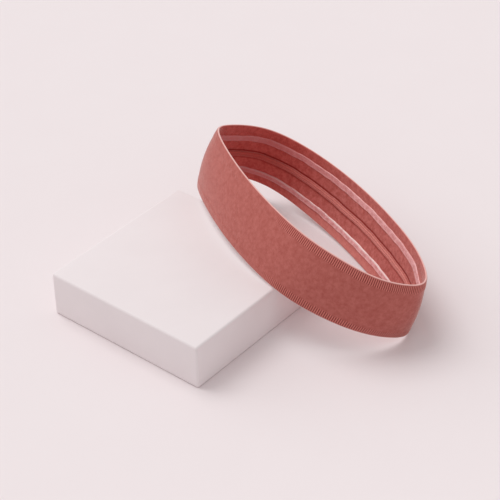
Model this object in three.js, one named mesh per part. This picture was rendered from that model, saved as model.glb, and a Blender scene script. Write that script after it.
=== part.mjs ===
// A slim knit headband that leans on a plain square display block. Millimetres, +Z up.
// The loop stands on edge: one side of it is flattened on the surface, the other rests on the block.
import * as THREE from 'three';

// Display block
const blockSide = 130;
const blockHeight = 34;
const blockEdge = 1.6; // rounding of its edges
const blockEdgeSteps = 4;

// Knit band
const bandWidth = 47.4; // from rim to rim
const loopHalf = 100; // the open loop's half length, the size that the along shares follow
const loopDepth = 100; // the open loop's depth, the size that the across shares follow
const knitWall = 1.2; // thickness of the plain knit
const hemWall = 1.6; // thickness of the ribbed hem and its rolled rim
const hemHeight = 6.4; // ribbed hem along each edge
const hemFade = 0.8; // height over which the hem thins to the plain knit
const rimRound = 0.6; // rounding of the rolled rim
const bellyMost = 4; // how far the cloth can swell between its rims

// Strips and welt inside the loop, by the height of their centre above the lower rim
const weltHeight = 23.2;
const weltWidth = 3.6;
const weltRise = 1.1;
const stripSpread = 14.5; // from the welt to each strip
const stripWidth = 5;
const stripRise = 0.5;
const seatGap = 0.3; // between the knit and what is fixed on it, and between the loop and the block

// Place of the loop: its fold line on the surface runs past the block's near right corner
const foldBesideX = 45;
const foldBesideY = 5;
const foldHeading = 60; // degrees from +X
const foldRound = 2; // how softly the cloth flattens where it meets the surface
const leastLean = 2; // degrees, the loop lying almost flat
const mostLean = 60; // degrees, the loop almost upright

const bendSteps = 8; // faces round the loop from one station to the next

// Stations round the loop, seen in its own slanting plane. along runs with the fold line and across
// runs up the slope, as shares of loopHalf and loopDepth. leanAlong and leanAcross say how far the
// upper rim stands off square from the lower one, as shares of bandWidth. belly is the cloth's swell
// there, as a share of bellyMost.
const stations = [
  { along: 0.91, across: 0.88, leanAlong: -0.05, leanAcross: 0.01, belly: 0.8 }, // far bend, turning
  { along: 0.78, across: 0.99, leanAlong: 0.04, leanAcross: 0.03, belly: 0.7 },
  { along: 0.38, across: 1.02, leanAlong: 0.08, leanAcross: 0.03, belly: 0.5 }, // front wall over the block
  { along: 0.03, across: 1.01, leanAlong: 0.08, leanAcross: 0.03, belly: 0.5 },
  { along: -0.31, across: 0.95, leanAlong: 0.08, leanAcross: 0.04, belly: 0.5 },
  { along: -0.63, across: 0.84, leanAlong: 0.06, leanAcross: 0.08, belly: 0.55 }, // front wall coming down
  { along: -0.86, across: 0.6, leanAlong: 0, leanAcross: 0.18, belly: 0.75 },
  { along: -0.99, across: 0.34, leanAlong: -0.08, leanAcross: 0.29, belly: 0.95 },
  { along: -0.97, across: 0.01, leanAlong: -0.12, leanAcross: 0.31, belly: 0.95 }, // near bend, standing
  { along: -0.82, across: -0.06, leanAlong: -0.25, leanAcross: 0.21, belly: 0.3 },
  { along: -0.43, across: -0.06, leanAlong: -0.23, leanAcross: 0.02, belly: 0.25 }, // back wall, standing
  { along: -0.05, across: -0.03, leanAlong: -0.21, leanAcross: -0.02, belly: 0.45 },
  { along: 0.29, across: 0.02, leanAlong: -0.21, leanAcross: -0.06, belly: 0.4 },
  { along: 0.64, across: 0.13, leanAlong: -0.21, leanAcross: -0.06, belly: 0.25 }, // back wall rising
  { along: 0.97, across: 0.28, leanAlong: -0.25, leanAcross: 0, belly: -0.1 },
  { along: 1.07, across: 0.55, leanAlong: -0.16, leanAcross: -0.04, belly: -0.3 }, // far bend
];

const up = new THREE.Vector3(0, 0, 1);
const heading = THREE.MathUtils.degToRad(foldHeading);
const fold = new THREE.Vector3(Math.cos(heading), Math.sin(heading), 0);
const slope = new THREE.Vector3(-Math.sin(heading), Math.cos(heading), 0);
const foldPoint = new THREE.Vector3(blockSide + foldBesideX, foldBesideY, 0);

// A value of the stations at a place round the loop, on a closed smooth curve through their shares.
function share(name, place) {
  const first = Math.floor(place);
  const t = place - first;
  const weights = [(1 - t) ** 3, 3 * t ** 3 - 6 * t ** 2 + 4, -3 * t ** 3 + 3 * t ** 2 + 3 * t + 1, t ** 3];
  const count = stations.length;
  return weights.reduce((sum, w, k) => sum + w * stations[(first - 1 + k + count) % count][name], 0) / 6;
}

// How far the cloth lifts so that a rim that would dip under the surface lies on it instead.
function liftOff(height) {
  return (Math.sqrt(height ** 2 + foldRound ** 2) - height) / 2;
}

// The lower and upper rim points of the wall's middle at one place round the loop.
function rims(place, lean) {
  const uphill = slope.clone().multiplyScalar(Math.cos(lean)).addScaledVector(up, Math.sin(lean));
  const square = up.clone().multiplyScalar(Math.cos(lean)).addScaledVector(slope, -Math.sin(lean));
  const lower = foldPoint.clone()
    .addScaledVector(fold, share('along', place) * loopHalf)
    .addScaledVector(uphill, share('across', place) * loopDepth);
  const aside = share('leanAlong', place);
  const ahead = share('leanAcross', place);
  const upper = lower.clone()
    .addScaledVector(fold, aside * bandWidth)
    .addScaledVector(uphill, ahead * bandWidth)
    .addScaledVector(square, Math.sqrt(1 - aside ** 2 - ahead ** 2) * bandWidth);
  const lift = liftOff(lower.z);
  lower.z += lift;
  upper.z += lift;
  return { lower, upper };
}

// The wall at one place: its two rims, the way out of the loop, and how far it swells.
function wallAt(place, lean) {
  const step = 0.02;
  const here = rims(place, lean);
  const ahead = rims(place + step, lean).lower.sub(rims(place - step, lean).lower);
  const rise = here.upper.clone().sub(here.lower);
  const outward = ahead.clone().cross(rise).normalize();
  return { ...here, rise, outward, swell: share('belly', place) * bellyMost };
}

// A point of the wall: height up from the lower rim, and depth outward from the wall's middle.
function wallPoint(wall, height, depth) {
  const v = height / bandWidth;
  const swell = wall.swell * 4 * v * (1 - v);
  return wall.lower.clone().addScaledVector(wall.rise, v).addScaledVector(wall.outward, swell + depth);
}

const placeCount = stations.length * bendSteps;
const places = Array.from({ length: placeCount }, (_, i) => i / bendSteps);

// The smallest height of the lower rim over the block's top, for one lean of the loop.
function clearance(lean) {
  let least = Infinity;
  for (const place of places) {
    const wall = wallAt(place, lean);
    for (const depth of [-hemWall / 2, hemWall / 2]) {
      const point = wallPoint(wall, 0, depth);
      const overBlock = point.x < blockSide && point.y > 0 && point.y < blockSide;
      if (overBlock) least = Math.min(least, point.z - blockHeight);
    }
  }
  return least;
}

// The lean at which the loop just rests on the block.
function restingLean() {
  let low = THREE.MathUtils.degToRad(leastLean);
  let high = THREE.MathUtils.degToRad(mostLean);
  for (let i = 0; i < 40; i++) {
    const middle = (low + high) / 2;
    if (clearance(middle) < seatGap) low = middle;
    else high = middle;
  }
  return high;
}

const lean = restingLean();
const walls = places.map((place) => wallAt(place, lean));

// A closed ring: one profile of { height, depth } points, in order round the wall, at every place.
function ring(profile) {
  const positions = walls.flatMap((wall) =>
    profile.flatMap(({ height, depth }) => wallPoint(wall, height, depth).toArray()));
  const across = profile.length;
  const indices = [];
  for (let i = 0; i < walls.length; i++) {
    const next = (i + 1) % walls.length;
    for (let j = 0; j < across; j++) {
      const beside = (j + 1) % across;
      const a = i * across + j;
      const b = next * across + j;
      const c = next * across + beside;
      const d = i * across + beside;
      indices.push(a, b, c, a, c, d);
    }
  }
  const geometry = new THREE.BufferGeometry();
  geometry.setAttribute('position', new THREE.Float32BufferAttribute(positions, 3));
  geometry.setIndex(indices);
  geometry.computeVertexNormals();
  return geometry;
}

// The wall's profile: plain knit between two thicker hems, with a rolled rim at each edge.
function bandProfile() {
  const side = (depthSign) => {
    const hem = (hemWall / 2) * depthSign;
    const plain = (knitWall / 2) * depthSign;
    const lower = [
      { height: rimRound * 0.3, depth: hem * 0.6 },
      { height: rimRound, depth: hem },
      { height: hemHeight - hemFade, depth: hem },
      { height: hemHeight, depth: plain },
      { height: bandWidth * 0.32, depth: plain },
    ];
    const upper = lower.map(({ height, depth }) => ({ height: bandWidth - height, depth })).reverse();
    return [...lower, { height: bandWidth / 2, depth: plain }, ...upper];
  };
  return [{ height: 0, depth: 0 }, ...side(1), { height: bandWidth, depth: 0 }, ...side(-1).reverse()];
}

// A rounded strip on the inner face, seated a small gap off the knit.
function stripProfile(centre, width, rise) {
  const seat = -knitWall / 2 - seatGap;
  const half = width / 2;
  return [
    { height: centre - half, depth: seat },
    { height: centre + half, depth: seat },
    { height: centre + half * 0.9, depth: seat - rise * 0.7 },
    { height: centre + half * 0.45, depth: seat - rise },
    { height: centre - half * 0.45, depth: seat - rise },
    { height: centre - half * 0.9, depth: seat - rise * 0.7 },
  ];
}

function squareBlock() {
  const inset = blockEdge;
  const size = blockSide - 2 * inset;
  const outline = new THREE.Shape();
  outline.moveTo(0, 0);
  outline.lineTo(size, 0);
  outline.lineTo(size, size);
  outline.lineTo(0, size);
  outline.closePath();
  const geometry = new THREE.ExtrudeGeometry(outline, {
    depth: blockHeight - 2 * blockEdge,
    bevelThickness: blockEdge,
    bevelSize: blockEdge,
    bevelSegments: blockEdgeSteps,
    steps: 1,
  });
  return geometry.translate(inset, inset, blockEdge);
}

const knit = new THREE.MeshStandardMaterial({ color: 0xb0615b, roughness: 0.95, metalness: 0 });
const ribKnit = new THREE.MeshStandardMaterial({ color: 0xb7665f, roughness: 0.95, metalness: 0 });
const silicone = new THREE.MeshStandardMaterial({
  color: 0xd99a9c, roughness: 0.3, metalness: 0, transparent: true, opacity: 0.8,
});
const mattePaint = new THREE.MeshStandardMaterial({ color: 0xece1e2, roughness: 0.8, metalness: 0 });

const part = new THREE.Group();

function addPiece(name, geometry, material) {
  const mesh = new THREE.Mesh(geometry, material);
  mesh.name = name;
  part.add(mesh);
}

addPiece('display_block', squareBlock(), mattePaint);
addPiece('knit_band', ring(bandProfile()), knit);
addPiece('centre_welt', ring(stripProfile(weltHeight, weltWidth, weltRise)), ribKnit);
addPiece('grip_strip_upper', ring(stripProfile(weltHeight + stripSpread, stripWidth, stripRise)), silicone);
addPiece('grip_strip_lower', ring(stripProfile(weltHeight - stripSpread, stripWidth, stripRise)), silicone);

// The origin is the middle of the whole part's box, on the surface that it stands on.
const extent = new THREE.Box3().setFromObject(part, true);
const middle = extent.getCenter(new THREE.Vector3());
part.position.set(-middle.x, -middle.y, 0);

export default part;
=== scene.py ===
"""A slim knit headband that stands on edge, as an open loop, against a pale square display block.

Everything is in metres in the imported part's frame. The loop's shape comes from the same named sizes
as the part's solids, so each dressed piece lies where its solid lies. A place round the loop is
counted in stations: 0 and 15 are in the far bend, 2 to 6 in the front wall, 7 to 9 in the near bend
and 10 to 14 in the back wall.
"""
from __future__ import annotations

import logging
import math
import random
from dataclasses import dataclass, field
from enum import Enum
from typing import Any, Callable, Protocol, Sequence, Union

import bpy
from mathutils import Matrix, Vector


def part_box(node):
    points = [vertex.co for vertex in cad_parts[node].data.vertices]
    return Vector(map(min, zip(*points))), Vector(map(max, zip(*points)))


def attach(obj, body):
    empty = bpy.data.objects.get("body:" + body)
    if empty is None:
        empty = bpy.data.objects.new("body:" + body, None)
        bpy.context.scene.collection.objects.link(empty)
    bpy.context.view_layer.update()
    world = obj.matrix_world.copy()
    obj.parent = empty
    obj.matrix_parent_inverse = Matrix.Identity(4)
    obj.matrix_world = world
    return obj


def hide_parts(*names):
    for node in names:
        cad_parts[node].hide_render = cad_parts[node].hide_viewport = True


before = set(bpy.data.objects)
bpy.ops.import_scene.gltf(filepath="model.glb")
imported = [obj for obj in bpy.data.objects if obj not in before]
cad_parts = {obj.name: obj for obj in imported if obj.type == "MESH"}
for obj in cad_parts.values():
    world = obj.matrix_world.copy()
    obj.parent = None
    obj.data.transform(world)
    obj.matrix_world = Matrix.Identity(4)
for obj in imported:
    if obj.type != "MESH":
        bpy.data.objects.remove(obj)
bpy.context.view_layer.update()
LOG = logging.getLogger("headband")
MM = 0.001  # a millimetre, in metres
INNER_LIT = 0.5  # the inner attribute where the inner face gets painted light; it is 1 in the far bend, which gets painted shade
Colour = tuple[float, float, float]
Triple = tuple[float, float, float]  # a vector's parts
Span = tuple[float, float]  # where a smooth step is still 0, and where it has come to 1


class Face(Enum):
    """The side of the cloth that a row of points lies on, with the sign of its depth."""

    OUTER = 1.0
    INNER = -1.0


class Value:
    """A number or colour socket of a node tree that can stand in a Python expression."""

    def __init__(self, graph: Graph, socket: bpy.types.NodeSocket) -> None:
        """Wraps one output socket.

        Args:
            graph: The node tree that the socket belongs to.
            socket: The output socket.
        """
        self.graph = graph
        self.socket = socket

    def _with(self, operation: str, first: Term, second: Term = 0.0) -> Value:
        """Adds one Math node.

        Args:
            operation: The Math node's operation.
            first: The first term.
            second: The second term.

        Returns:
            The node's result.
        """
        return self.graph.make(
            "ShaderNodeMath", {"operation": operation}, {0: first, 1: second}
        )

    def __add__(self, other: Term) -> Value:
        """self + other."""
        return self._with("ADD", self, other)

    def __radd__(self, other: Term) -> Value:
        """other + self."""
        return self._with("ADD", other, self)

    def __sub__(self, other: Term) -> Value:
        """self - other."""
        return self._with("SUBTRACT", self, other)

    def __rsub__(self, other: Term) -> Value:
        """other - self."""
        return self._with("SUBTRACT", other, self)

    def __mul__(self, other: Term) -> Value:
        """self * other."""
        return self._with("MULTIPLY", self, other)

    def __rmul__(self, other: Term) -> Value:
        """other * self."""
        return self._with("MULTIPLY", other, self)

    def sine(self) -> Value:
        """The sine of self, in radians."""
        return self._with("SINE", self)

    def ramp(self, low: float, high: float) -> Value:
        """Self as a smooth step.

        Args:
            low: Where the step is still 0.
            high: Where the step has come to 1. It may be below low.

        Returns:
            A number from 0 to 1.
        """
        return self.graph.make(
            "ShaderNodeMapRange",
            {"interpolation_type": "SMOOTHSTEP", "clamp": True},
            {"Value": self, "From Min": low, "From Max": high, "To Min": 0.0, "To Max": 1.0},
        )


Term = Union[Value, float]


class Graph:
    """The node tree of one new material."""

    # A Mix node's sockets for colours, by number, because its other sockets have the same names.
    FIRST_COLOUR, SECOND_COLOUR, MIXED_COLOUR = 6, 7, 2
    NOISE_ROUGHNESS = 0.55

    def __init__(self, name: str) -> None:
        """Starts a material with nothing but its shader and output.

        Args:
            name: The material's name.
        """
        self.material = bpy.data.materials.new(name)
        self.material.use_nodes = True
        self.tree = self.material.node_tree
        self.shader = self.tree.nodes["Principled BSDF"]

    def make(
        self,
        kind: str,
        settings: dict[str, Any],
        sockets: dict[Union[int, str], Any],
        output: Union[int, str] = 0,
    ) -> Value:
        """Adds one node, sets it, then feeds its sockets.

        Args:
            kind: The node's type.
            settings: Its own settings, such as a Math node's operation.
            sockets: A number, vector, colour or Value for each input, by name or number.
            output: The output that is wanted, by name or number.

        Returns:
            That output.
        """
        node = self.tree.nodes.new(kind)
        for key, setting in settings.items():
            setattr(node, key, setting)
        for key, given in sockets.items():
            self._feed(node.inputs[key], given)
        return Value(self, node.outputs[output])

    def _feed(self, socket: bpy.types.NodeSocket, given: Any) -> None:
        """Links a Value to an input, or sets the input to a plain number, vector or colour.

        Args:
            socket: The input.
            given: What it gets.
        """
        if isinstance(given, Value):
            self.tree.links.new(given.socket, socket)
        elif socket.type == "RGBA" and len(given) == 3:
            socket.default_value = (*given, 1.0)
        else:
            socket.default_value = given

    def feed(self, sockets: dict[str, Any]) -> None:
        """Sets or links the shader's own sockets, by name."""
        for key, given in sockets.items():
            self._feed(self.shader.inputs[key], given)

    def mix(self, share: Term, first: Any, second: Any) -> Value:
        """Mixes two colours.

        Args:
            share: How much of the second there is, from 0 to 1.
            first: The first colour.
            second: The second colour.

        Returns:
            The mixed colour.
        """
        return self.make(
            "ShaderNodeMix",
            {"data_type": "RGBA", "blend_type": "MIX"},
            {0: share, self.FIRST_COLOUR: first, self.SECOND_COLOUR: second},
            self.MIXED_COLOUR,
        )

    def place(self) -> Value:
        """The point in the piece's own coordinates, in metres."""
        return self.make("ShaderNodeTexCoord", {}, {}, "Object")

    def painted(self, name: str) -> Value:
        """A number stored on the piece's points under that name."""
        return self.make("ShaderNodeAttribute", {"attribute_name": name}, {}, "Fac")

    def along_and_up(self) -> tuple[Value, Value]:
        """Reads the piece's wrap UV map.

        Returns:
            The share of the way round the loop, and the share of the height.
        """
        wrap = self.make("ShaderNodeUVMap", {"uv_map": "wrap"}, {})
        along = self.make("ShaderNodeSeparateXYZ", {}, {0: wrap}, "X")
        up = self.make("ShaderNodeSeparateXYZ", {}, {0: wrap}, "Y")
        return along, up

    def wrapped(self, along: Value, up: Value, width_share: float) -> Value:
        """A point that goes round a circle with the loop, so that noise read there has no seam.

        Args:
            along: The share of the way round.
            up: The share of the height.
            width_share: How tall the cloth is, where the circle's radius is 1.

        Returns:
            The point.
        """
        turn = along * math.tau
        return self.make(
            "ShaderNodeCombineXYZ",
            {},
            {"X": (turn + math.pi / 2).sine(), "Y": turn.sine(), "Z": up * width_share},
        )

    def noise(
        self, at: Value, fineness: float, detail: float, stretch: Triple = (1.0, 1.0, 1.0)
    ) -> Value:
        """Cloudy noise.

        Args:
            at: Where it is read.
            fineness: How many clouds there are to a unit of length.
            detail: How many finer layers it has.
            stretch: A factor for each axis.

        Returns:
            A number around 0.5.
        """
        spread = self.make("ShaderNodeMapping", {}, {"Vector": at, "Scale": stretch})
        sockets = {
            "Vector": spread,
            "Scale": fineness,
            "Detail": detail,
            "Roughness": self.NOISE_ROUGHNESS,
        }
        return self.make("ShaderNodeTexNoise", {}, sockets, "Fac")

    def relief(self, height: Value, depth: float, strength: float) -> None:
        """Bumps the surface.

        Args:
            height: The relief, from 0 to 1.
            depth: How deep it is, in metres.
            strength: How much of it shows.
        """
        sockets = {"Strength": strength, "Distance": depth, "Height": height}
        self.feed({"Normal": self.make("ShaderNodeBump", {}, sockets, "Normal")})


class Finish(Protocol):
    """Anything that makes a piece's material."""

    def material(self) -> bpy.types.Material:
        """The finished material."""


@dataclass(frozen=True)
class KnitFinish:
    """Dusty rose stretch jersey with fine corded borders, and a painted highlight along its rolled
    rims.

    The inner face gets painted light, with painted bounce light near the lower rim, and painted shade
    in the far bend, as the inner attribute says. The tone attribute is above 0 in the grooves between
    cords, which get painted shade, and below 0 on their ridges, which get painted light. The creases
    beside the welt get painted shade.
    """

    thread: Colour = (0.395, 0.095, 0.078)
    pale_thread: Colour = (0.500, 0.148, 0.126)
    # The inner face's colours in the light: painted light, brighter than the outer face, with painted
    # bounce light near the lower rim.
    lit_thread: Colour = (0.440, 0.094, 0.078)
    lit_pale: Colour = (0.610, 0.190, 0.166)
    lit_edge: Colour = (0.780, 0.290, 0.250)
    # The inner face's colours in the far bend: painted shade, darker and redder.
    far_shade_thread: Colour = (0.430, 0.054, 0.044)
    far_shade_pale: Colour = (0.570, 0.104, 0.087)
    # Painted shade in the grooves between cords, and painted light on their ridges.
    groove_shade: Colour = (0.090, 0.003, 0.002)
    ridge: Colour = (0.630, 0.190, 0.160)
    # Painted shade in the creases beside the welt.
    crease: Colour = (0.260, 0.012, 0.008)
    # A painted highlight along the rolled rims, fainter on the inner face.
    rim: Colour = (0.94, 0.58, 0.54)
    round_share: float = 1.75  # how tall the cloth is to a noise that runs round it
    wales: int = 340
    wale_run: float = 14.0  # how soon a wale changes up the cloth
    courses: int = 60
    course_run: float = 50.0  # how soon a course changes round the loop
    heather_fineness: float = 420.0
    cloud_fineness: float = 240.0
    mottle_step: Span = (0.36, 0.64)
    wale_step: Span = (0.38, 0.62)
    pale_by_heather: float = 0.35
    pale_by_cloud: float = 0.4
    pale_by_wale: float = 0.25
    lit_edge_step: Span = (0.21, 0.04)  # painted bounce light near the lower rim, from the lower strip down to the rim
    lit_edge_share: float = 0.5
    ridge_share: float = 0.9
    crease_share: float = 0.85
    rim_height: float = 0.014
    rim_highlight_share: float = 0.85
    rim_less_inside: float = 0.45
    wale_relief: float = 0.5
    course_relief: float = 0.2
    heather_relief: float = 0.5
    cloud_relief: float = 0.6

    def material(self) -> bpy.types.Material:
        """Makes the finished material.

        Returns:
            A material that reads the wrap UV map and the tone, crease and inner attributes.
        """
        graph = Graph("rose_jersey")
        at = graph.place()
        along, up = graph.along_and_up()
        cloth = graph.wrapped(along, up, self.round_share)
        wale_grid = (self.wales, self.wales, self.wale_run)
        course_grid = (self.course_run, self.course_run, self.courses)
        wale = graph.noise(cloth, fineness=1.0, detail=2.0, stretch=wale_grid)
        course = graph.noise(cloth, fineness=1.0, detail=2.0, stretch=course_grid)
        heather = graph.noise(at, self.heather_fineness, detail=3.0)
        cloud = graph.noise(at, self.cloud_fineness, detail=3.0)
        pale = (
            heather.ramp(*self.mottle_step) * self.pale_by_heather
            + cloud.ramp(*self.mottle_step) * self.pale_by_cloud
            + wale.ramp(*self.wale_step) * self.pale_by_wale
        )
        outer = graph.mix(pale, self.thread, self.pale_thread)
        lit = graph.mix(pale, self.lit_thread, self.lit_pale)
        deep = graph.mix(pale, self.far_shade_thread, self.far_shade_pale)
        # Painted bounce light on the inner face, growing towards the lower rim.
        lit_edge = up.ramp(*self.lit_edge_step) * self.lit_edge_share
        lit = graph.mix(lit_edge, lit, self.lit_edge)
        inside = graph.painted("inner")
        # Painted light on the inner face, as the inner attribute rises from 0 to INNER_LIT.
        colour = graph.mix(inside.ramp(0.0, INNER_LIT), outer, lit)
        # Painted shade in the far bend, as the inner attribute rises from INNER_LIT to 1.
        colour = graph.mix(inside.ramp(INNER_LIT, 1.0), colour, deep)
        # Painted light on the cords' ridges and painted shade in their grooves, from the tone
        # attribute.
        cord = graph.painted("tone")
        colour = graph.mix(cord.ramp(0.0, -1.0) * self.ridge_share, colour, self.ridge)
        colour = graph.mix(cord.ramp(0.0, 1.0), colour, self.groove_shade)
        # Painted shade in the creases beside the welt.
        colour = graph.mix(graph.painted("crease") * self.crease_share, colour, self.crease)
        # A painted highlight along both rims, fainter on the inner face.
        rims = (1 - self.rim_height, 1.0)
        rim = up.ramp(*rims) + (1 - up).ramp(*rims)
        rim_highlight_share = self.rim_highlight_share - inside * self.rim_less_inside
        colour = graph.mix(rim * rim_highlight_share, colour, self.rim)
        graph.feed({"Base Color": colour, "Roughness": 0.9, "Specular IOR Level": 0.15})
        graph.feed({"Sheen Weight": 0.85, "Sheen Roughness": 0.32, "Sheen Tint": (1.0, 0.8, 0.77)})
        height = (
            wale * self.wale_relief
            + course * self.course_relief
            + heather * self.heather_relief
            + cloud * self.cloud_relief
        )
        graph.relief(height, depth=0.3 * MM, strength=0.85)
        return graph.material


@dataclass(frozen=True)
class WeltFinish:
    """The raised band inside the loop, with fine lines along it and stitches across them."""

    thread: Colour = (0.80, 0.290, 0.248)
    line: Colour = (0.36, 0.070, 0.056)
    # The welt's painted shade in the far bend.
    shaded: Colour = (0.50, 0.064, 0.050)
    lines: int = 3
    line_step: Span = (0.55, 0.05)
    line_share: float = 0.45
    stitches: int = 240
    stitch_run: float = 5.0  # how soon a stitch changes up the welt
    stitch_step: Span = (0.45, 0.62)
    stitch_share: float = 0.4

    def material(self) -> bpy.types.Material:
        """Makes the finished material.

        Returns:
            A material that reads the wrap UV map, and the tone attribute for the far bend's painted
            shade.
        """
        graph = Graph("rose_welt")
        along, up = graph.along_and_up()
        stripe = (up * (self.lines * math.tau)).sine() * 0.5 + 0.5
        cloth = graph.wrapped(along, up, width_share=1.0)
        stitch_grid = (self.stitches, self.stitches, self.stitch_run)
        stitch = graph.noise(cloth, fineness=1.0, detail=1.0, stretch=stitch_grid)
        # Painted shade in the far bend, from the tone attribute.
        thread = graph.mix(graph.painted("tone"), self.thread, self.shaded)
        dark = (
            stripe.ramp(*self.line_step) * self.line_share
            + stitch.ramp(*self.stitch_step) * self.stitch_share
        )
        colour = graph.mix(dark, thread, self.line)
        graph.feed({"Base Color": colour, "Roughness": 0.9, "Specular IOR Level": 0.25})
        graph.feed({"Sheen Weight": 0.2, "Sheen Roughness": 0.5})
        graph.relief(stripe * 0.5 - stitch * 0.5, depth=0.25 * MM, strength=0.8)
        return graph.material


@dataclass(frozen=True)
class SiliconeFinish:
    """Translucent silicone that lets the rose knit show through, with a painted highlight along the
    bead at each edge.
    """

    clear: Colour = (0.70, 0.260, 0.250)
    milky: Colour = (0.87, 0.430, 0.420)
    # The strip's painted shade in the far bend.
    shaded: Colour = (0.50, 0.076, 0.072)
    # The painted highlight along the beads; the upper and lower beads have strengths of their own.
    bead: Colour = (0.90, 0.52, 0.51)
    upper_bead_highlight: float = 0.55
    lower_bead_highlight: float = 0.5
    upper_bead_step: Span = (0.66, 0.84)
    lower_bead_step: Span = (0.34, 0.16)
    least_bead_highlight: float = 0.4  # what shows of the painted bead highlight however the silicone clouds it
    cloud_fineness: float = 300.0
    grain_fineness: float = 1100.0
    cloud_step: Span = (0.38, 0.62)
    grain_step: Span = (0.4, 0.6)
    milky_by_cloud: float = 0.6
    milky_by_grain: float = 0.4
    gleam_width: float = 0.1  # how tall the strip is to the noise that breaks the painted bead highlights
    gleam_fineness: float = 9.0
    gleam_step: Span = (0.36, 0.54)
    least_gleam: float = 0.35
    shaded_share: float = 0.85
    least_roughness: float = 0.18
    more_roughness: float = 0.12

    def material(self) -> bpy.types.Material:
        """Makes the finished material.

        Returns:
            A material that reads object coordinates, the wrap UV map, and the tone attribute for the
            far bend's painted shade.
        """
        graph = Graph("grip_silicone")
        at = graph.place()
        along, up = graph.along_and_up()
        cloud = graph.noise(at, self.cloud_fineness, detail=3.0)
        grain = graph.noise(at, self.grain_fineness, detail=2.0)
        strip = graph.wrapped(along, up, self.gleam_width)
        gleam = graph.noise(strip, self.gleam_fineness, detail=2.0).ramp(*self.gleam_step)
        gleam = gleam * (1 - self.least_gleam) + self.least_gleam
        milk = (
            cloud.ramp(*self.cloud_step) * self.milky_by_cloud
            + grain.ramp(*self.grain_step) * self.milky_by_grain
        )
        colour = graph.mix(milk, self.clear, self.milky)
        # Painted highlight along the beads, broken here and there by the gleam noise.
        beads = (
            up.ramp(*self.upper_bead_step) * self.upper_bead_highlight
            + up.ramp(*self.lower_bead_step) * self.lower_bead_highlight
        )
        colour = graph.mix(beads * (self.least_bead_highlight + cloud) * gleam, colour, self.bead)
        # Painted shade in the far bend, from the tone attribute.
        colour = graph.mix(graph.painted("tone") * self.shaded_share, colour, self.shaded)
        roughness = cloud * self.more_roughness + self.least_roughness
        graph.feed({"Base Color": colour, "Roughness": roughness, "Specular IOR Level": 0.5})
        graph.feed({"Coat Weight": 0.25, "Coat Roughness": 0.2})
        graph.relief(grain * 0.5 + cloud * 0.5, depth=0.14 * MM, strength=0.5)
        return graph.material


@dataclass(frozen=True)
class PaintFinish:
    """Matt pale paint with a faint tooth."""

    name: str
    coat: Colour
    rubbed: Colour
    roughness: float = 0.75
    uneven_roughness: float = 0.1
    cloud_fineness: float = 22.0
    cloud_step: Span = (0.3, 0.7)
    tooth_fineness: float = 1500.0

    def material(self) -> bpy.types.Material:
        """Makes the finished material.

        Returns:
            A material that reads object coordinates.
        """
        graph = Graph(self.name)
        at = graph.place()
        cloud = graph.noise(at, self.cloud_fineness, detail=4.0)
        tooth = graph.noise(at, self.tooth_fineness, detail=2.0)
        colour = graph.mix(cloud.ramp(*self.cloud_step), self.coat, self.rubbed)
        smoothest = self.roughness - self.uneven_roughness / 2
        roughness = cloud * self.uneven_roughness + smoothest
        graph.feed({"Base Color": colour, "Roughness": roughness, "Specular IOR Level": 0.2})
        graph.relief(tooth, depth=0.05 * MM, strength=0.4)
        return graph.material


def step(low: float, high: float, x: float) -> float:
    """A smooth step from 0 at low to 1 at high."""
    t = min(max((x - low) / (high - low), 0.0), 1.0)
    return t * t * (3 - 2 * t)


def dome(share: float, roundness: int) -> float:
    """How high a rounded section stands at a share of its half width: 1 in the middle."""
    return (1 - abs(share) ** roundness) ** 0.5 if abs(share) < 1 else 0.0


@dataclass(frozen=True)
class Station:
    """One station round the loop, as shares of the loop's sizes and of the band's width."""

    along: float
    across: float
    lean_along: float
    lean_across: float
    belly: float


STATIONS = (
    Station(0.91, 0.88, -0.05, 0.01, 0.8),
    Station(0.78, 0.99, 0.04, 0.03, 0.7),
    Station(0.38, 1.02, 0.08, 0.03, 0.5),
    Station(0.03, 1.01, 0.08, 0.03, 0.5),
    Station(-0.31, 0.95, 0.08, 0.04, 0.5),
    Station(-0.63, 0.84, 0.06, 0.08, 0.55),
    Station(-0.86, 0.6, 0.0, 0.18, 0.75),
    Station(-0.99, 0.34, -0.08, 0.29, 0.95),
    Station(-0.97, 0.01, -0.12, 0.31, 0.95),
    Station(-0.82, -0.06, -0.25, 0.21, 0.3),
    Station(-0.43, -0.06, -0.23, 0.02, 0.25),
    Station(-0.05, -0.03, -0.21, -0.02, 0.45),
    Station(0.29, 0.02, -0.21, -0.06, 0.4),
    Station(0.64, 0.13, -0.21, -0.06, 0.25),
    Station(0.97, 0.28, -0.25, 0.0, -0.1),
    Station(1.07, 0.55, -0.16, -0.04, -0.3),
)


@dataclass
class Wall:
    """The band's wall at one place round the loop."""

    lower: Vector
    rise: Vector
    outward: Vector
    swell: float
    place: float
    number: int = 0
    share: float = 0.0

    def point(self, height: float, depth: float) -> Vector:
        """A point of the wall.

        Args:
            height: The share of the way from the lower rim to the upper.
            depth: How far outward from the wall's middle, in metres.

        Returns:
            The point, in the part's frame.
        """
        belly = self.swell * 4 * height * (1 - height)
        return self.lower + self.rise * height + self.outward * (belly + depth)


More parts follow.
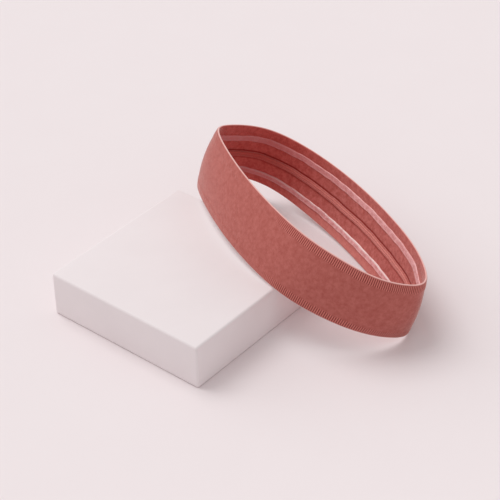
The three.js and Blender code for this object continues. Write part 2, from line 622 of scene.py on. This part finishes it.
@dataclass
class Loop:
    """The open loop's shape, standing on its fold line and resting on the block."""

    corner: Vector
    side: float
    height: float
    width: float = 47.4 * MM  # from rim to rim
    half_length: float = 100 * MM  # what the along shares follow
    depth: float = 100 * MM  # what the across shares follow
    knit: float = 1.2 * MM  # thickness of the plain knit
    hem: float = 1.6 * MM  # thickness of the corded borders
    belly_most: float = 4 * MM  # how far the cloth can swell between its rims
    fold_beside: tuple[float, float] = (45 * MM, 5 * MM)  # past the block's near right corner
    fold_heading: float = math.radians(60)
    fold_round: float = 2 * MM  # how softly the cloth flattens where it meets the surface
    rest_gap: float = 0.3 * MM  # between the loop and the block
    lean_range: tuple[float, float] = (math.radians(2), math.radians(60))
    lean_tries: int = 40
    clearance_steps: int = 8  # from one station to the next
    length_chords: int = 400
    far_from_back: Span = (11.5, 14.9)
    far_from_front: Span = (2.0, 0.5)
    far_drop: float = 0.075
    far_drop_from_back: Span = (14.5, 15.7)
    far_drop_from_front: Span = (1.5, 0.0)
    near_drop: float = 0.12
    near_drop_from_back: Span = (9.8, 9.1)
    near_drop_from_front: Span = (7.6, 8.6)
    lean: float = field(init=False, default=0.0)
    fold: Vector = field(init=False)
    slope: Vector = field(init=False)
    fold_point: Vector = field(init=False)

    def __post_init__(self) -> None:
        """Sets the fold line, then finds the lean at which the loop just rests on the block."""
        self.fold = Vector((math.cos(self.fold_heading), math.sin(self.fold_heading), 0))
        self.slope = Vector((-self.fold.y, self.fold.x, 0))
        beside = Vector((self.side + self.fold_beside[0], self.fold_beside[1], 0))
        self.fold_point = Vector((self.corner.x, self.corner.y, 0)) + beside
        low, high = self.lean_range
        for _ in range(self.lean_tries):
            self.lean = (low + high) / 2
            if self.clearance() < self.rest_gap:
                low = self.lean
            else:
                high = self.lean

    @staticmethod
    def share(name: str, place: float) -> float:
        """A value of the stations on a closed smooth curve through their shares.

        Args:
            name: The station's field.
            place: Where round the loop, in stations.

        Returns:
            The value there.
        """
        first = math.floor(place)
        t = place - first
        weights = ((1 - t) ** 3, 3 * t**3 - 6 * t**2 + 4, -3 * t**3 + 3 * t**2 + 3 * t + 1, t**3)
        near = [STATIONS[(first - 1 + k) % len(STATIONS)] for k in range(len(weights))]
        return sum(w * getattr(station, name) for w, station in zip(weights, near)) / 6

    def rims(self, place: float) -> tuple[Vector, Vector]:
        """The two rim points of the wall's middle.

        Args:
            place: Where round the loop, in stations.

        Returns:
            The lower and the upper point.
        """
        up = Vector((0, 0, 1))
        uphill = self.slope * math.cos(self.lean) + up * math.sin(self.lean)
        square = up * math.cos(self.lean) - self.slope * math.sin(self.lean)
        lower = self.fold_point + self.fold * (self.share("along", place) * self.half_length)
        lower = lower + uphill * (self.share("across", place) * self.depth)
        aside, ahead = self.share("lean_along", place), self.share("lean_across", place)
        stand = math.sqrt(1 - aside**2 - ahead**2)
        upper = lower + (self.fold * aside + uphill * ahead + square * stand) * self.width
        lift = Vector((0, 0, (math.hypot(lower.z, self.fold_round) - lower.z) / 2))
        return lower + lift, upper + lift

    def wall_at(self, place: float, reach: float = 0.02) -> Wall:
        """The wall at one place.

        Args:
            place: Where round the loop, in stations.
            reach: How far to each side its direction is taken from.

        Returns:
            The wall.
        """
        lower, upper = self.rims(place)
        ahead = self.rims(place + reach)[0] - self.rims(place - reach)[0]
        rise = upper - lower
        swell = self.share("belly", place) * self.belly_most
        return Wall(lower, rise, ahead.cross(rise).normalized(), swell, place % len(STATIONS))

    def clearance(self) -> float:
        """Measures the gap between the lower rim and the block.

        Returns:
            The smallest height of the rim over the block's top.
        """
        least = math.inf
        for i in range(len(STATIONS) * self.clearance_steps):
            wall = self.wall_at(i / self.clearance_steps)
            for depth in (-self.hem / 2, self.hem / 2):
                point = wall.point(0, depth)
                beside = point - self.corner
                if beside.x < self.side and 0 < beside.y < self.side:
                    least = min(least, point.z - self.height)
        return least

    def walls(self, count: int, fine: int = 2400) -> list[Wall]:
        """Walls at equal steps of length round the loop.

        Args:
            count: How many.
            fine: How many short chords the length is measured with.

        Returns:
            The walls, each with its number and its share of the way round.
        """
        places = [i * len(STATIONS) / fine for i in range(fine + 1)]
        middles = []
        for place in places:
            lower, upper = self.rims(place)
            middles.append((lower + upper) / 2)
        lengths = [0.0]
        for before, after in zip(middles, middles[1:]):
            lengths.append(lengths[-1] + (after - before).length)
        walls, k = [], 0
        for i in range(count):
            wanted = lengths[-1] * i / count
            while lengths[k + 1] < wanted:
                k += 1
            part = (wanted - lengths[k]) / (lengths[k + 1] - lengths[k])
            wall = self.wall_at(places[k] + part * (places[k + 1] - places[k]))
            wall.number, wall.share = i, i / count
            walls.append(wall)
        return walls

    def length(self) -> float:
        """Measures the loop round the middle of its wall.

        Returns:
            Its length, in metres.
        """
        middles = [wall.point(0.5, 0) for wall in self.walls(self.length_chords)]
        return sum((b - a).length for a, b in zip(middles, middles[1:] + middles[:1]))

    def far(self, place: float) -> float:
        """How deep in the far bend's painted shade a place is, from 0 to 1."""
        return step(*self.far_from_back, place) + step(*self.far_from_front, place)

    def drop(self, place: float) -> float:
        """How far what is sewn inside lies below its mean height.

        Args:
            place: Where round the loop, in stations.

        Returns:
            A share of the mean height, greatest at the two bends.
        """
        far = step(*self.far_drop_from_back, place) + step(*self.far_drop_from_front, place)
        near = step(*self.near_drop_from_back, place) * step(*self.near_drop_from_front, place)
        return self.far_drop * far + self.near_drop * near


@dataclass
class Wander:
    """A slow closed wave round the loop, for lines that were sewn or laid by hand."""

    size: float
    seed: int
    turns: tuple[int, ...] = (3, 5, 8, 13, 21, 34)
    weights: tuple[float, float] = (0.5, 1.0)  # the least and the most that a wave counts
    waves: list[tuple[int, float, float]] = field(init=False)

    def __post_init__(self) -> None:
        """Draws each wave's phase and weight."""
        rng = random.Random(self.seed)
        self.waves = [
            (turns, rng.uniform(0, math.tau), rng.uniform(*self.weights)) for turns in self.turns
        ]

    def at(self, share: float) -> float:
        """The wave at a share of the way round, about -size to size."""
        total = sum(w * math.sin(math.tau * n * share + phase) for n, phase, w in self.waves)
        return self.size * total / math.sqrt(len(self.waves))


@dataclass
class RingPoint:
    """One point of a ring's cross section at one wall.

    Height and up are shares of the band's width and of the piece's own. Depth is in metres.
    """

    height: float
    depth: float
    up: float
    # Tone, crease and inner say where the finish paints shade and light.
    tone: float = 0.0
    crease: float = 0.0
    inner: float = 0.0


def ring_piece(
    name: str, walls: Sequence[Wall], section: Callable[[Wall], Sequence[RingPoint]]
) -> bpy.types.Object:
    """Builds a closed ring round the loop.

    Args:
        name: The piece's name.
        walls: The walls that it follows.
        section: Gives the cross section at a wall, in order outside upward and inside downward.

    Returns:
        The piece, with a UV map of the way round and the height, and its tone, crease and inner
        attributes.
    """
    rows = [section(wall) for wall in walls]
    across = len(rows[0])
    points = [wall.point(p.height, p.depth) for wall, row in zip(walls, rows) for p in row]
    faces, wraps = [], []
    for i, row in enumerate(rows):
        here, after = i * across, (i + 1) % len(rows) * across
        start, end = i / len(rows), (i + 1) / len(rows)
        for j in range(across):
            beside = (j + 1) % across
            faces.append((here + j, after + j, after + beside, here + beside))
            low, high = row[j].up, row[beside].up
            wraps.extend((start, low, end, low, end, high, start, high))
    mesh = bpy.data.meshes.new(name)
    mesh.from_pydata([tuple(p) for p in points], [], faces)
    mesh.uv_layers.new(name="wrap").data.foreach_set("uv", wraps)
    for paint in ("tone", "crease", "inner"):
        painted = mesh.attributes.new(paint, "FLOAT", "POINT")
        painted.data.foreach_set("value", [getattr(p, paint) for row in rows for p in row])
    mesh.shade_smooth()
    mesh.update()
    piece = bpy.data.objects.new(name, mesh)
    bpy.context.scene.collection.objects.link(piece)
    return piece


def dress(piece: bpy.types.Object, finish: Finish, node: str) -> None:
    """Gives a piece its material and body, and says which solid it stands for.

    Args:
        piece: The piece.
        finish: The finish whose material it gets.
        node: The solid that it replaces.
    """
    piece.data.materials.clear()
    piece.data.materials.append(finish.material())
    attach(piece, "root")
    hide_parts(node)
    LOG.info("%s: %d faces, for %s", piece.name, len(piece.data.polygons), node)


@dataclass
class KnitBand:
    """The knit loop itself: plain jersey between two finely corded borders."""

    loop: Loop
    seam: Wander  # how the creases beside the welt wander with it
    cords: int = 341
    faces_a_cord: int = 5
    border: float = 6.4 * MM
    border_fade: float = 0.5 * MM
    uneven: float = 0.5 * MM  # how far a cord can end from the border's height
    cord_rise: float = 0.12 * MM
    cord_groove: float = 0.13 * MM
    cord_slant: float = 0.15  # in cords, for each millimetre of height
    cord_sharpness: float = 1.7
    cord_start: Span = (0.2 * MM, 1.2 * MM)  # up from the rim
    upper_pressed: Span = (4.0, 4.75)
    lower_pressed: Span = (4.1, 4.9)
    back_pressed: Span = (15.9, 14.0)
    least_pressed: float = 0.12
    inner_pressed: float = 0.2
    rim_round: float = 0.8 * MM
    sewn_height: float = 22.9 * MM  # the mean height of what is sewn inside
    drift_step: Span = (9 * MM, 2 * MM)  # how near to it a row drifts with the seam
    crease_height: float = 26.2 * MM
    lower_crease: float = 20 * MM
    crease_depth: float = 0.35 * MM
    crease_step: Span = (1.1 * MM, 0.2 * MM)
    lower_crease_share: float = 0.5
    seed: int = 11
    # Heights of the rows of points, in millimetres.
    outer_rows: tuple[float, ...] = (
        0.15, 0.7, 1.5, 2.7, 3.9, 4.9, 5.6, 6.2, 6.8, 7.5, 12, 18, 23.7,
        29.4, 35.4, 39.9, 40.6, 41.2, 41.8, 42.5, 43.5, 44.7, 45.9, 46.7, 47.25,
    )
    inner_rows: tuple[float, ...] = (
        47.25, 46.7, 45.6, 44.4, 43.2, 42, 41, 40, 36.9, 31, 27.6, 27.1, 26.7, 26.3, 25.9, 25.4,
        24.8, 21.2, 20.6, 20, 19.4, 18.8, 15, 8.5, 6.4, 5.4, 4.2, 3, 1.7, 0.7, 0.15,
    )
    finish: Finish = field(default_factory=KnitFinish)
    ends: list[list[float]] = field(init=False)

    def __post_init__(self) -> None:
        """Draws where each cord ends, in the lower and then in the upper border."""
        rng = random.Random(self.seed)
        self.ends = [
            [rng.uniform(-1, 1) * self.uneven for _ in range(self.cords)] for _ in range(2)
        ]

    def build(self) -> bpy.types.Object:
        """Builds and dresses the band.

        Returns:
            The finished piece.
        """
        walls = self.loop.walls(self.cords * self.faces_a_cord)
        piece = ring_piece("band_jersey", walls, self._section)
        dress(piece, self.finish, "knit_band")
        self.loop.length()
        return piece

    def _section(self, wall: Wall) -> list[RingPoint]:
        """The cloth's cross section.

        Args:
            wall: The wall that it is taken at.

        Returns:
            Its points, up the outer face and down the inner one.
        """
        section = [RingPoint(0, 0, 0)]
        section += [self._at(wall, height * MM, Face.OUTER) for height in self.outer_rows]
        section.append(RingPoint(1, 0, 1))
        drift = self.seam.at(wall.share) - self.sewn_height * self.loop.drop(wall.place)
        for row in self.inner_rows:
            height = row * MM
            height += drift * step(*self.drift_step, abs(height - self.sewn_height))
            section.append(self._at(wall, height, Face.INNER, drift))
        return section

    def _pressed(self, place: float, upper: bool) -> float:
        """How crisply the border's cords stand out on the outer face.

        Args:
            place: Where round the loop, in stations.
            upper: Whether it is the upper border.

        Returns:
            The strength, from 0 to 1.
        """
        front = step(*(self.upper_pressed if upper else self.lower_pressed), place)
        back = step(*self.back_pressed, place)
        return self.least_pressed + (1 - self.least_pressed) * front * back

    def _crease(self, height: float) -> float:
        """How deep in a crease beside the welt a height is.

        Args:
            height: The height up from the lower rim, in metres, without the seam's drift.

        Returns:
            The depth, from 0 to 1.
        """
        above = step(*self.crease_step, abs(height - self.crease_height))
        below = step(*self.crease_step, abs(height - self.lower_crease))
        return max(above, self.lower_crease_share * below)

    def _at(self, wall: Wall, height: float, face: Face, drift: float = 0.0) -> RingPoint:
        """One point of the section, with its cord or crease.

        Args:
            wall: The wall.
            height: The height up from the lower rim, in metres.
            face: The side of the cloth.
            drift: How far the creases lie above their mean height there, in metres.

        Returns:
            The point.
        """
        width = self.loop.width
        edge = min(height, width - height)
        upper = height > width / 2
        inside = face is Face.INNER
        phase = wall.number / self.faces_a_cord - height * self.cord_slant / MM
        end = self.border + self.ends[int(upper)][round(phase) % self.cords]
        in_border = step(end + self.border_fade, end - self.border_fade, edge)
        corded = in_border * step(*self.cord_start, edge)
        pressed = self.inner_pressed if inside else self._pressed(wall.place, upper)
        ridge = 1 - (0.5 - 0.5 * math.cos(math.tau * phase)) ** self.cord_sharpness
        relief = (self.cord_rise * ridge - self.cord_groove * (1 - ridge)) * corded
        cloth = self.loop.knit / 2 + (self.loop.hem - self.loop.knit) / 2 * in_border
        roll = math.sqrt(max(0.0, 1 - (1 - min(edge / self.rim_round, 1.0)) ** 2))
        # The crease sets both the dent and its painted shade.
        crease = self._crease(height - drift) if inside else 0.0
        depth = cloth * roll + relief * pressed - self.crease_depth * crease
        # Where the cords' grooves get painted shade (above 0) and their ridges painted light (below
        # 0).
        tone = (1 - 2 * ridge) * corded * pressed
        # The inner face's painted light, which turns to painted shade in the far bend.
        inner = INNER_LIT + (1 - INNER_LIT) * self.loop.far(wall.place) if inside else 0.0
        return RingPoint(height / width, face.value * depth, height / width, tone, crease, inner)


@dataclass(kw_only=True)
class InnerRidge:
    """Something raised on the inner face, all the way round the loop."""

    loop: Loop
    name: str
    node: str
    slot: str
    centre: float  # its mean height above the lower rim
    width: float
    rise: float
    roundness: int
    shares: tuple[float, ...]  # where its points lie, in half widths, from the top down
    wave: Wander
    finish: Finish
    sink: float = 0.15 * MM  # how far its edges lie in the knit
    columns: int = 900

    def build(self) -> bpy.types.Object:
        """Builds and dresses the piece.

        Returns:
            The finished piece.
        """
        piece = ring_piece(self.name, self.loop.walls(self.columns), self._section)
        dress(piece, self.finish, self.node)
        return piece

    def _half(self, wall: Wall) -> float:
        """Half its width at a wall, in metres."""
        return self.width / 2

    def _relief(self, share: float) -> float:
        """How far its surface lies below a plain dome at a share of its half width, in metres."""
        return 0.0

    def _section(self, wall: Wall) -> list[RingPoint]:
        """The piece's rounded cross section.

        Args:
            wall: The wall that it is taken at.

        Returns:
            Its points, down the inner face.
        """
        centre = self.centre * (1 - self.loop.drop(wall.place)) + self.wave.at(wall.share)
        half = self._half(wall)
        seat = self.sink - self.loop.knit / 2
        # The far bend's painted shade, stored as the tone attribute of the welt and strips.
        shade = self.loop.far(wall.place)
        section = []
        for share in self.shares:
            depth = seat - (self.sink + self.rise) * dome(share, self.roundness)
            height = (centre + half * share) / self.loop.width
            up = 0.5 + 0.5 * share
            section.append(RingPoint(height, depth + self._relief(share), up, shade))
        return section


@dataclass(kw_only=True)
class GripStrip(InnerRidge):
    """A silicone strip, a little wavy as it was laid down, with a fuller bead along each edge."""

    slot: str = "silicone"
    rise: float = 0.7 * MM
    roundness: int = 3
    shares: tuple[float, ...] = (
        1, 0.97, 0.9, 0.8, 0.68, 0.5, 0.2, -0.2, -0.5, -0.68, -0.8, -0.9, -0.97, -1,
    )
    wave: Wander = field(default_factory=lambda: Wander(0.35 * MM, seed=3))
    breadth: Wander = field(default_factory=lambda: Wander(0.05, seed=4, turns=(9, 17, 31, 57)))
    finish: Finish = field(default_factory=SiliconeFinish)
    bead: float = 0.25 * MM
    bead_place: float = 0.78  # in half widths
    bead_spread: float = 0.13

    def _half(self, wall: Wall) -> float:
        """Half the strip's width at a wall, in metres."""
        return self.width / 2 * (1 + self.breadth.at(wall.share))

    def _relief(self, share: float) -> float:
        """The beads' rise at a share of the strip's half width, below zero, in metres."""
        from_bead = (abs(share) - self.bead_place) / self.bead_spread
        return -self.bead * math.exp(-(from_bead**2)) if abs(share) < 1 else 0.0


WELT_STEPS = 22  # from one edge of the welt to the other


@dataclass(kw_only=True)
class Welt(InnerRidge):
    """The raised knit band round the middle of the inner face, with fine lines along it."""

    name: str = "welt_ridge"
    node: str = "centre_welt"
    slot: str = "welt_knit"
    centre: float = 23.2 * MM
    width: float = 4.4 * MM
    rise: float = 1.3 * MM
    roundness: int = 4
    shares: tuple[float, ...] = tuple(1 - 2 * k / WELT_STEPS for k in range(WELT_STEPS + 1))
    finish: Finish = field(default_factory=WeltFinish)
    lines: int = 3
    line_depth: float = 0.16 * MM

    def _relief(self, share: float) -> float:
        """The lines' depth at a share of the welt's half width, in metres."""
        line = 0.5 - 0.5 * math.cos(math.tau * self.lines * share)
        return self.line_depth * line * dome(share, self.roundness)


def deselect() -> None:
    """Leaves nothing selected."""
    bpy.ops.object.select_all(action="DESELECT")


@dataclass
class DisplayBlock:
    """The pale painted block that the loop rests on."""

    low: Vector
    high: Vector
    edge: float = 1.6 * MM
    edge_segments: int = 6
    smooth_below: float = math.radians(50)
    finish: Finish = PaintFinish("block_paint", (0.812, 0.738, 0.746), (0.83, 0.756, 0.764))

    def build(self) -> bpy.types.Object:
        """Builds and dresses the block.

        Returns:
            The finished piece.
        """
        deselect()
        bpy.ops.mesh.primitive_cube_add(size=1.0, location=(self.low + self.high) / 2)
        piece = bpy.context.object
        piece.name = piece.data.name = "painted_block"
        piece.scale = self.high - self.low
        bpy.ops.object.transform_apply(location=True, rotation=True, scale=True)
        bpy.ops.object.mode_set(mode="EDIT")
        bpy.ops.mesh.select_all(action="SELECT")
        bpy.ops.mesh.bevel(
            offset=self.edge, segments=self.edge_segments, profile=0.5, affect="EDGES"
        )
        bpy.ops.object.mode_set(mode="OBJECT")
        bpy.ops.object.shade_smooth_by_angle(angle=self.smooth_below)
        dress(piece, self.finish, "display_block")
        return piece


@dataclass(frozen=True)
class Lamp:
    """A broad distant light."""

    name: str
    strength: float
    travel: Triple
    spread: float

    def hang(self) -> None:
        """Adds the light to the scene."""
        light = bpy.data.lights.new(self.name, "SUN")
        light.energy = self.strength
        light.angle = self.spread
        lamp = bpy.data.objects.new(self.name, light)
        lamp.rotation_euler = Vector(self.travel).to_track_quat("-Z", "Y").to_euler()
        lamp.location = (0, 0, 1)
        bpy.context.scene.collection.objects.link(lamp)


@dataclass
class Studio:
    """The plain floor, the soft light and the camera at the photographed angle."""

    corner: Vector
    side: float
    floor_size: float = 8.0
    floor_gap: float = 0.05 * MM  # below the part, so that the two don't share a face
    floor: Finish = PaintFinish(
        "floor_paint", (0.832, 0.754, 0.763), (0.836, 0.759, 0.768), roughness=0.9
    )
    lamps: tuple[Lamp, ...] = (
        Lamp("key", 1.06, (0.03, -0.48, -1.0), math.radians(36)),
        Lamp("fill", 0.22, (-0.6, 0.75, -0.45), math.radians(90)),
        Lamp("side", 0.12, (0.64, -0.77, -0.55), math.radians(50)),
        Lamp("back", 0.52, (0.16, -0.9, -0.45), math.radians(50)),
    )
    sky: Colour = (1.0, 0.99, 0.99)
    sky_strength: float = 0.605
    eye: Triple = (-4.607, -4.229, 5.402)  # from the corner, in block sides
    azimuth: float = math.radians(49.96)
    elevation: float = math.radians(36.06)
    roll: float = math.radians(1.26)
    lens: float = 118.46
    sensor: float = 36.0
    sight: float = 50.0  # how far the camera sees

    def build(self) -> None:
        """Builds the floor, the lights and the camera."""
        self._lay_floor()
        self._light()
        self._set_camera()

    def _lay_floor(self) -> None:
        """Lays a wide plain floor just under the part."""
        deselect()
        bpy.ops.mesh.primitive_plane_add(size=self.floor_size, location=(0, 0, -self.floor_gap))
        floor = bpy.context.object
        floor.name = "floor"
        bpy.ops.object.transform_apply(location=True, rotation=True, scale=True)
        floor.data.materials.append(self.floor.material())

    def _light(self) -> None:
        """Hangs a broad light above and fainter ones round about, under a pale even sky."""
        for lamp in self.lamps:
            lamp.hang()
        world = bpy.data.worlds.new("sky")
        bpy.context.scene.world = world
        world.use_nodes = True
        background = world.node_tree.nodes["Background"]
        background.inputs["Color"].default_value = (*self.sky, 1.0)
        background.inputs["Strength"].default_value = self.sky_strength
        bpy.context.scene.view_settings.view_transform = "Standard"

    def _set_camera(self) -> None:
        """Sets the camera at the photograph's angle, from the block's near corner."""
        sa, ca = math.sin(self.azimuth), math.cos(self.azimuth)
        se, ce = math.sin(self.elevation), math.cos(self.elevation)
        sr, cr = math.sin(self.roll), math.cos(self.roll)
        ahead = Vector((sa * ce, ca * ce, -se))
        level = Vector((ca, -sa, 0))
        down = ahead.cross(level)
        right = level * cr + down * sr
        down = down * cr - level * sr
        place = self.corner + Vector(self.eye) * self.side
        turn = Matrix((right, -down, -ahead)).transposed().to_4x4()
        lens = bpy.data.cameras.new("camera")
        lens.sensor_width = self.sensor
        lens.lens = self.lens
        lens.clip_end = self.sight
        camera = bpy.data.objects.new("camera", lens)
        camera.matrix_world = Matrix.Translation(place) @ turn
        bpy.context.scene.collection.objects.link(camera)
        bpy.context.scene.camera = camera


def main() -> None:
    """Builds the whole scene in order."""
    logging.basicConfig(level=logging.INFO, format="%(name)s: %(message)s")
    low, high = (Vector(corner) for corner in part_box("display_block"))
    loop = Loop(corner=low, side=high.x - low.x, height=high.z)
    lean, around = math.degrees(loop.lean), loop.length() / MM
    LOG.info("the loop leans %.2f degrees and is %.1f mm round", lean, around)
    seam = Wander(0.3 * MM, seed=5)
    Studio(corner=low, side=high.x - low.x).build()
    DisplayBlock(low, high).build()
    KnitBand(loop, seam).build()
    Welt(loop=loop, wave=seam).build()
    GripStrip(
        loop=loop,
        name="silicone_upper",
        node="grip_strip_upper",
        centre=37.7 * MM,
        width=5.0 * MM,
    ).build()
    GripStrip(
        loop=loop,
        name="silicone_lower",
        node="grip_strip_lower",
        centre=8.7 * MM,
        width=4.6 * MM,
        wave=Wander(0.3 * MM, seed=8),
        finish=SiliconeFinish(
            clear=(0.68, 0.262, 0.252),
            milky=(0.90, 0.455, 0.445),
            # The lower strip's painted bead highlight is stronger on its upper edge.
            bead=(1.0, 0.76, 0.74),
            upper_bead_highlight=1.3,
            lower_bead_highlight=0.3,
        ),
    ).build()


if __name__ == "__main__":
    main()
